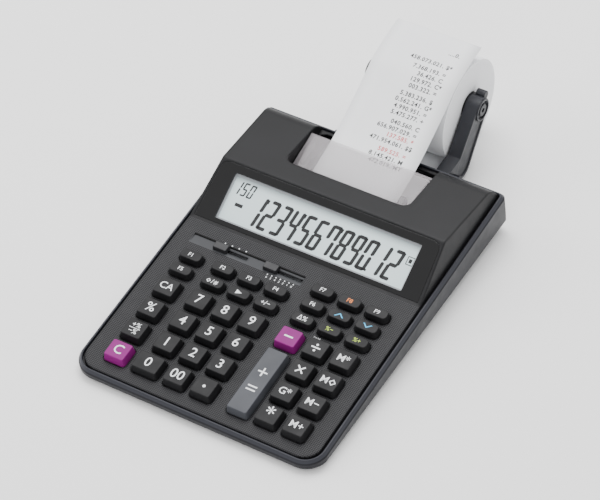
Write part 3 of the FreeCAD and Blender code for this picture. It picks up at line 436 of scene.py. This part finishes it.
def key_top(node):
    """Centre and level of a key's top in the deck frame, in mm."""
    back = DECK.inverted()
    points = [back @ vertex.co / MM for vertex in NODES[node].data.vertices]
    level = max(point.z for point in points)
    top = [point for point in points if point.z > level - 0.02]
    x = (min(point.x for point in top) + max(point.x for point in top)) / 2
    y = (min(point.y for point in top) + max(point.y for point in top)) / 2
    return x, y, level


BIG = 8.8
MEDIUM = 6.6
SMALL = 3.7
WORDS = {
    "key_clear": ("C", BIG), "key_percent": ("%", BIG), "key_clear_all": ("CA", MEDIUM),
    "key_0": ("0", BIG), "key_1": ("1", BIG), "key_2": ("2", BIG), "key_3": ("3", BIG),
    "key_4": ("4", BIG), "key_5": ("5", BIG), "key_6": ("6", BIG), "key_7": ("7", BIG),
    "key_8": ("8", BIG), "key_9": ("9", BIG), "key_double_zero": ("00", BIG),
    "key_total": ("*", 12.5), "key_grand_total": ("G*", MEDIUM),
    "key_memory_plus": ("M+", MEDIUM), "key_memory_minus": ("M−", MEDIUM),
    "key_memory_total": ("M*", MEDIUM), "key_item_average": ("F5", SMALL),
    "key_time": ("F1", SMALL), "key_cost": ("F2", SMALL), "key_sell": ("F3", SMALL),
    "key_margin": ("F4", SMALL), "key_sign": ("+/−", 4.4),
    "key_delta_percent": ("Δ%", 4.6), "key_correct": ("F6", 3.9),
    "key_print": ("F7", 3.9), "key_tax_minus": ("%−", 3.9),
    "key_tax_plus": ("%+", 3.9), "key_reprint": ("F8", 3.9),
    "key_feed": ("F9", 3.8),
}
COLOURS = {"key_tax_minus": GREEN, "key_tax_plus": GREEN, "key_reprint": ORANGE,
           "key_page_up": CYAN, "key_page_down": CYAN}


def bar(width, depth):
    return slab([(-width / 2, -depth / 2), (width / 2, -depth / 2),
                 (width / 2, depth / 2), (-width / 2, depth / 2)])


def legends():
    """The mark of every key, by its node."""
    marks = {node: words_mesh(words, height, 0.004) for node, (words, height) in WORDS.items()}
    line = 0.9
    marks["key_minus"] = bar(5.6, 1.0)
    marks["key_point"] = slab([(0.95 * math.cos(turn * math.pi / 8),
                                0.95 * math.sin(turn * math.pi / 8)) for turn in range(16)])
    marks["key_plus_equals"] = merge([
        moved(bar(6.0, 0.95), 0, 6.0), moved(bar(0.95, 2.5), 0, 7.73),
        moved(bar(0.95, 2.5), 0, 4.27), moved(bar(6.0, 0.95), 0, -5.0),
        moved(bar(6.0, 0.95), 0, -7.6)])
    dot = slab([(0.75 * math.cos(turn * math.pi / 6),
                 0.75 * math.sin(turn * math.pi / 6)) for turn in range(12)])
    marks["key_divide"] = merge([bar(5.8, line), moved(dot, 0, 2.1), moved(dot, 0, -2.1)])
    reach = 2.3
    cross = []
    for turn in (1, -1):
        cross.append(slab([(-reach - 0.32, (-reach + 0.32) * turn),
                           (-reach + 0.32, (-reach - 0.32) * turn),
                           (reach + 0.32, (reach - 0.32) * turn),
                           (reach - 0.32, (reach + 0.32) * turn)][:: turn]))
    cross[1] = moved(cross[1], 0, 0, 0.004)
    marks["key_multiply"] = merge(cross)
    letter = words_mesh("M", MEDIUM, 0.004)
    marks["key_memory_subtotal"] = merge([moved(letter, -2.2, 0), moved(diamond(2.2, 0.6), 2.9, 0)])
    marks["key_mark_up"] = merge([
        moved(words_mesh("+%", 4.6, 0.004), 0, 2.3), bar(7.2, 0.35),
        moved(words_mesh("−%", 4.6, 0.004), 0, -2.4)])
    marks["key_non_add"] = merge([moved(diamond(1.4, 0.4), -2.6, 0),
                                  words_mesh("/", 4.0), moved(words_mesh("#", 3.9), 2.4, 0)])
    marks["key_right_shift"] = slab([(-1.8, -1.5), (2.0, 0.0), (-1.8, 1.5)])
    marks["key_page_up"] = chevron(3.0, 1.4, 0.9, True)
    marks["key_page_down"] = chevron(3.0, 1.4, 0.9, False)
    return marks


for node, part in legends().items():
    x, y, level = key_top(node)
    printed("legend_" + node[4:], part, DECK, x, y, level + INK / 2,
            COLOURS.get(node, WHITE), node)
KEY_PLASTICS = {"key_clear": KEY_MAGENTA, "key_minus": KEY_MAGENTA,
                "key_plus_equals": KEY_GREY}
for node in NODES:
    if node.startswith("key_"):
        paint(node, KEY_PLASTICS.get(node, KEY_BLACK))


# ---------------------------------------------------------------- deck print

DECK_WORDS = [("12/24", 36.6, 60.0, 2.0), ("6   5   4   3   2   1   0", -4.4, 85.6, 2.1)]
for index, (words, x, y, height) in enumerate(DECK_WORDS):
    printed("deck_print_%02d" % index, words_mesh(words, height, 0.0), DECK, x, y,
            DECK_LEVEL + INK / 2, WHITE, "case")
ticks = [moved(bar(0.7, 0.7), -47.6 + step * 4.8, 96.6) for step in range(4)]
ticks += [moved(bar(0.7, 0.7), -13.2 + step * 2.93, 87.6) for step in range(7)]
printed("deck_print_ticks", merge(ticks), DECK, 0, 0, DECK_LEVEL + INK / 2, WHITE, "case")


# ---------------------------------------------------------------- display digits

SEGMENTS = {"0": "abcdef", "1": "bc", "2": "abged", "3": "abgcd", "4": "fgbc", "5": "afgcd",
            "6": "afgedc", "7": "abcf", "8": "abcdefg", "9": "abcdfg", "-": "g"}
SLANT = 0.16


def seven_segment(digit, width, height, line):
    """One slanted seven-segment digit, its lower left corner at the origin."""
    half = height / 2
    gap = line * 0.12
    tip = line * 0.5
    runs = {"a": (0, height - line, 1), "g": (0, half - line / 2, 1), "d": (0, 0, 1),
            "f": (0, half, 0), "b": (width - line, half, 0),
            "e": (0, 0, 0), "c": (width - line, 0, 0)}
    parts = []
    for name in SEGMENTS[digit]:
        x, y, flat = runs[name]
        if flat:
            outline = [(x + gap + tip, y), (x + width - gap - tip, y),
                       (x + width - gap - tip * 0.4, y + line / 2),
                       (x + width - gap - tip, y + line), (x + gap + tip, y + line),
                       (x + gap + tip * 0.4, y + line / 2)]
        else:
            outline = [(x, y + gap + tip * 0.5), (x + line / 2, y + gap),
                       (x + line, y + gap + tip * 0.8), (x + line, y + half - gap - tip * 0.8),
                       (x + line / 2, y + half - gap), (x, y + half - gap - tip * 0.5)]
        parts.append(slab([(px + py * SLANT, py) for px, py in outline]))
    return merge(parts)


def display():
    level = -2.55 + INK / 2
    parts = []
    pitch = 8.4
    start = -46.3
    for index, digit in enumerate("123456789012"):
        parts.append(moved(seven_segment(digit, 6.9, 19.6, 2.2), start + index * pitch, 7.0))
    for index in (0, 3, 6):
        parts.append(moved(slab([(0, 0), (0.9, 0), (1.3, 2.6), (0.3, 2.6)]),
                           start + index * pitch + 9.1, 23.2))
    parts.append(moved(bar(1.4, 1.4), start + 9 * pitch + 7.25, 8.3))
    parts.append(moved(bar(5.2, 2.1), -53.4, 16.2))
    for index, digit in enumerate("150"):
        parts.append(moved(seven_segment(digit, 3.4, 8.6, 0.95), -60.9 + index * 4.5, 22.0))
    frame_box = [moved(bar(4.6, 0.5), 0, 2.4), moved(bar(4.6, 0.5), 0, -2.4),
                 moved(bar(0.5, 4.4), -2.1, 0), moved(bar(0.5, 4.4), 2.1, 0),
                 moved(bar(2.0, 2.4), 0, 0)]
    parts.append(moved(merge(frame_box), 60.0, 22.6))
    printed("display_digits", merge(parts), DISPLAY, 0, 0, level, SEGMENT, "case")


display()


# ---------------------------------------------------------------- paper

PATH = [(273.0, 25.9), (264.5, 25.6), (256.0, 24.8), (248.0, 23.7), (240.6, 22.0),
        (233.0, 18.6), (223.0, 13.9), (211.0, 9.0), (199.0, 4.5)]
PLATEN = Vector((168.0, -10.2))
WRAP = 7.75
LEAD = math.tan(math.radians(10.2))
INLET = Vector((201.0, -20.4))
ROLL = Vector((252.6, -8.9))
REACH = 32.55
PAPER_HALF = 28.75


def smooth_line(points, spacing=1.2):
    """Evenly stepped points on a Catmull-Rom line through the given ones."""
    line = []
    for index in range(len(points) - 1):
        first = points[max(index - 1, 0)]
        here = points[index]
        after = points[index + 1]
        last = points[min(index + 2, len(points) - 1)]
        steps = max(2, int((after - here).length / spacing))
        for step in range(steps):
            t = step / steps
            line.append(0.5 * (2 * here + (after - first) * t
                               + (2 * first - 5 * here + 4 * after - last) * t * t
                               + (3 * here - first - 3 * after + last) * t * t * t))
    line.append(points[-1])
    return line


def printed_line():
    points = [Vector(pair) for pair in PATH]
    for y in (187.0, 178.0):
        points.append(Vector((y, -3.2 + LEAD * (y - 163.0))))
    for step in range(10):
        angle = math.radians(100.2 + (266.0 - 100.2) * step / 9)
        points.append(PLATEN + Vector((math.cos(angle), math.sin(angle))) * WRAP)
    points.append(Vector((180.0, -18.6)))
    points.append(Vector((190.0, -19.2)))
    points.append(INLET)
    return smooth_line(points)


def feed_line():
    to_hub = ROLL - INLET
    heading = math.atan2(to_hub.y, to_hub.x) - math.asin(REACH / to_hub.length)
    run = math.sqrt(to_hub.length ** 2 - REACH ** 2)
    way = Vector((math.cos(heading), math.sin(heading)))
    points = [INLET + way * (run * share) for share in (0.0, 0.3, 0.65, 0.97)]
    return smooth_line(points)


def normals_of(line):
    out = []
    for index in range(len(line)):
        way = line[min(index + 1, len(line) - 1)] - line[max(index - 1, 0)]
        out.append(Vector((-way.y, way.x)).normalized())
    return out


def paper_band(name, line, thick=0.12):
    columns = 6
    sides = normals_of(line)
    points = []
    for sign in (-1, 1):
        for here, side in zip(line, sides):
            place = here + side * (sign * thick / 2)
            for column in range(columns + 1):
                x = PAPER_HALF * (2 * column / columns - 1)
                points.append(DECK @ (Vector((x, place.x, place.y)) * MM))
    across = columns + 1
    layer = across * len(line)
    faces = []
    for row in range(len(line) - 1):
        for column in range(columns):
            corner = row * across + column
            face = (corner, corner + 1, corner + across + 1, corner + across)
            faces.append(face)
            faces.append(tuple(index + layer for index in reversed(face)))
        for column in (0, columns):
            corner = row * across + column
            side = (corner, corner + across, corner + across + layer, corner + layer)
            faces.append(side if column == 0 else tuple(reversed(side)))
    for row in (0, len(line) - 1):
        for column in range(columns):
            corner = row * across + column
            side = (corner + layer, corner + layer + 1, corner + 1, corner)
            faces.append(side if row == 0 else tuple(reversed(side)))
    return add_mesh(name, points, faces, PAPER, None, smooth=True)


def on_deck(y, z):
    return tuple(DECK @ (Vector((0.0, y, z)) * MM))


def follow(part, line):
    """Wraps flat lettering round the paper: its Y runs down from the cut end."""
    lengths = [0.0]
    for index in range(1, len(line)):
        lengths.append(lengths[-1] + (line[index] - line[index - 1]).length)
    sides = normals_of(line)
    points = []
    for point in part[0]:
        run = -point.y
        index = max(i for i in range(len(line) - 1) if lengths[i] <= run)
        share = (run - lengths[index]) / (lengths[index + 1] - lengths[index])
        here = line[index].lerp(line[index + 1], share)
        side = sides[index].lerp(sides[index + 1], share).normalized()
        if side.y < 0:
            side = -side
        place = here + side * (0.075 + point.z)
        points.append(DECK @ (Vector((point.x, place.x, place.y)) * MM))
    return points, part[1]


def receipt():
    """Generic rows of figures: black, with two red ones near the printer."""
    random.seed(5)
    rows = [("....0.", 12.0)]
    run = 22.0
    tags = ["$*", "=", "C", "C*", "=", "$", "G*", "=", "+", "C", "=", "*", "$$", "=", "M", "MT",
            "C", "="]
    for index, tag in enumerate(tags):
        digits = random.randint(5, 9)
        figure = "".join(random.choice("0123456789") for count in range(digits))
        groups = []
        while figure:
            groups.insert(0, figure[-3:])
            figure = figure[:-3]
        rows.append((".".join(groups) + ". " + tag.ljust(2), run))
        run += 4.3 if index % 4 else 5.6
        if run > 92.0:
            break
    black = []
    red = []
    for index, (words, run) in enumerate(rows):
        part = moved(words_mesh(words, 3.9, 0.022, "RIGHT", 1.12), 20.5, -run)
        (red if index in (len(rows) - 3, len(rows) - 5) else black).append(part)
    return merge(black), merge(red)


strip_line = printed_line()
strip = paper_band("paper_printed", strip_line)
feed = paper_band("paper_feed", feed_line())
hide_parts("paper_strip")
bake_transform(strip)
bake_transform(feed)
for name, part, material in zip(("print_black", "print_red"), receipt(), (BLACK, RED)):
    points, faces = follow(part, strip_line)
    piece = add_mesh(name, points, faces, material, None)
    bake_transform(piece)


# ---------------------------------------------------------------- arm and case details

def disc(radius, thick, sides=40, hole=0.0):
    """A round plate lying in YZ, its axis along X, chamfered, with an optional hole."""
    chamfer = min(0.25, thick * 0.4)
    rings = [(radius, 0.0), (radius, thick - chamfer), (radius - chamfer, thick)]
    if hole:
        rings += [(hole, thick), (hole, 0.0)]
    points = []
    faces = []
    for reach, height in rings:
        for turn in range(sides):
            angle = 2 * math.pi * turn / sides
            points.append(Vector((height, reach * math.cos(angle), reach * math.sin(angle))))
    count = len(rings)
    loops = count if hole else count - 1
    for ring in range(loops):
        after = (ring + 1) % count
        for turn in range(sides):
            nxt = (turn + 1) % sides
            faces.append((ring * sides + turn, ring * sides + nxt, after * sides + nxt,
                          after * sides + turn))
    if not hole:
        faces.append(tuple(range(sides - 1, -1, -1)))
        faces.append(tuple(range((count - 1) * sides, count * sides)))
    return points, faces


def on_arm(name, part, x, y, z, sign, material=None):
    points = []
    for point in part[0]:
        points.append(DECK @ (Vector(((x + point.x) * sign, y + point.y, z + point.z)) * MM))
    faces = part[1] if sign > 0 else [tuple(reversed(face)) for face in part[1]]
    return add_mesh(name, points, faces, material or ARM, "roll_holder")


for sign, side in ((1, "right"), (-1, "left")):
    on_arm("arm_rim_" + side, disc(7.4, 0.7, hole=6.1), 38.45, 252.1, -3.9, sign)
    on_arm("arm_boss_" + side, disc(4.0, 1.3, hole=1.5), 37.8, 252.1, -3.9, sign)
    on_arm("arm_latch_" + side, disc(2.9, 6.0, 24), 31.0, 260.2, 0.2, sign)
    on_arm("arm_pivot_cap_" + side, disc(3.4, 0.6), 38.5, 211.0, -26.0, sign, DARK)
    on_arm("hub_" + side, disc(9.6, 0.55), 29.02, 252.4, -5.4, sign, DARK)


def screw(name, x, y):
    """A pan head sunk in the underside; its cross recess is a dark plate on the head: painted
    shade.
    """
    fall = Matrix.Rotation(math.radians(-5.0), 4, "X")
    base = Matrix.Translation(Vector((x, y, -12.4 - (y + 18.4) * math.tan(math.radians(5.0)))) * MM)
    matrix = DECK @ base @ fall
    head = disc(1.95, 1.0, 24)
    points = [Vector((point.z, point.y, 2.0 - point.x)) for point in head[0]]
    cross = [bar(2.2, 0.5), moved(bar(0.5, 2.2), 0, 0, 0.004)]
    points = [matrix @ (point * MM) for point in points]
    add_mesh(name, points, head[1], STEEL, "case")
    # The cross recess is drawn as a dark plate: painted shade.
    printed(name + "_cross_recess_shade", merge(cross), matrix, 0, 0, 0.98, DARK, "case")


SCREWS = [(-47.9, 25.6), (11.4, 25.6), (-75.5, 112.0), (75.5, 112.0), (-75.5, 188.0),
          (75.5, 188.0)]
for index, (x, y) in enumerate(SCREWS):
    screw("screw_%d" % (index + 1), x, y)


# ---------------------------------------------------------------- camera, light, floor

def area_light(name, place, aim, size, power, colour=(1.0, 1.0, 1.0)):
    data = bpy.data.lights.new(name, "AREA")
    data.shape = "RECTANGLE"
    data.size, data.size_y = size
    data.energy = power
    data.color = colour
    lamp = bpy.data.objects.new(name, data)
    lamp.location = place
    lamp.rotation_euler = (Vector(aim) - Vector(place)).to_track_quat("-Z", "Y").to_euler()
    bpy.context.scene.collection.objects.link(lamp)


area_light("softbox_top", (-0.25, 0.55, 1.5), (0, 0, 0), (1.2, 1.2), 30.0)
area_light("softbox_left", (-1.4, -0.5, 0.9), (0, 0, 0.02), (0.9, 0.9), 9.0)
area_light("softbox_front", (0.5, -1.5, 0.9), (0, 0, 0.02), (0.8, 0.8), 6.0)
world = bpy.data.worlds.new("studio")
world.use_nodes = True
world.node_tree.nodes["Background"].inputs[0].default_value = (1.0, 1.0, 1.0, 1.0)
world.node_tree.nodes["Background"].inputs[1].default_value = 1.15
bpy.context.scene.world = world

floor_look = Look("floor")
floor_material = floor_look.finish(
    floor_look.mix(floor_look.noise(6.0, 2.0), (0.93, 0.93, 0.93, 1), (0.95, 0.95, 0.95, 1)), 0.7)
floor = add_mesh("floor", [(-6, -6, 0), (6, -6, 0), (6, 6, 0), (-6, 6, 0)], [(0, 1, 2, 3)],
                 floor_material, None)
floor.location.z = -0.0001

RIGHT = Vector((0.8525, 0.5200, -0.0534))
DOWN = Vector((0.3393, -0.6283, -0.7001))
FORWARD = Vector((-0.3977, 0.5787, -0.7120))
camera_data = bpy.data.cameras.new("camera")
camera_data.lens = 174.6
camera_data.sensor_width = 36.0
camera = bpy.data.objects.new("camera", camera_data)
turn = Matrix((RIGHT, -DOWN, -FORWARD)).transposed().to_4x4()
camera.matrix_world = Matrix.Translation((0.66741, -1.00118, 1.22700)) @ turn
bpy.context.scene.collection.objects.link(camera)
bpy.context.scene.camera = camera
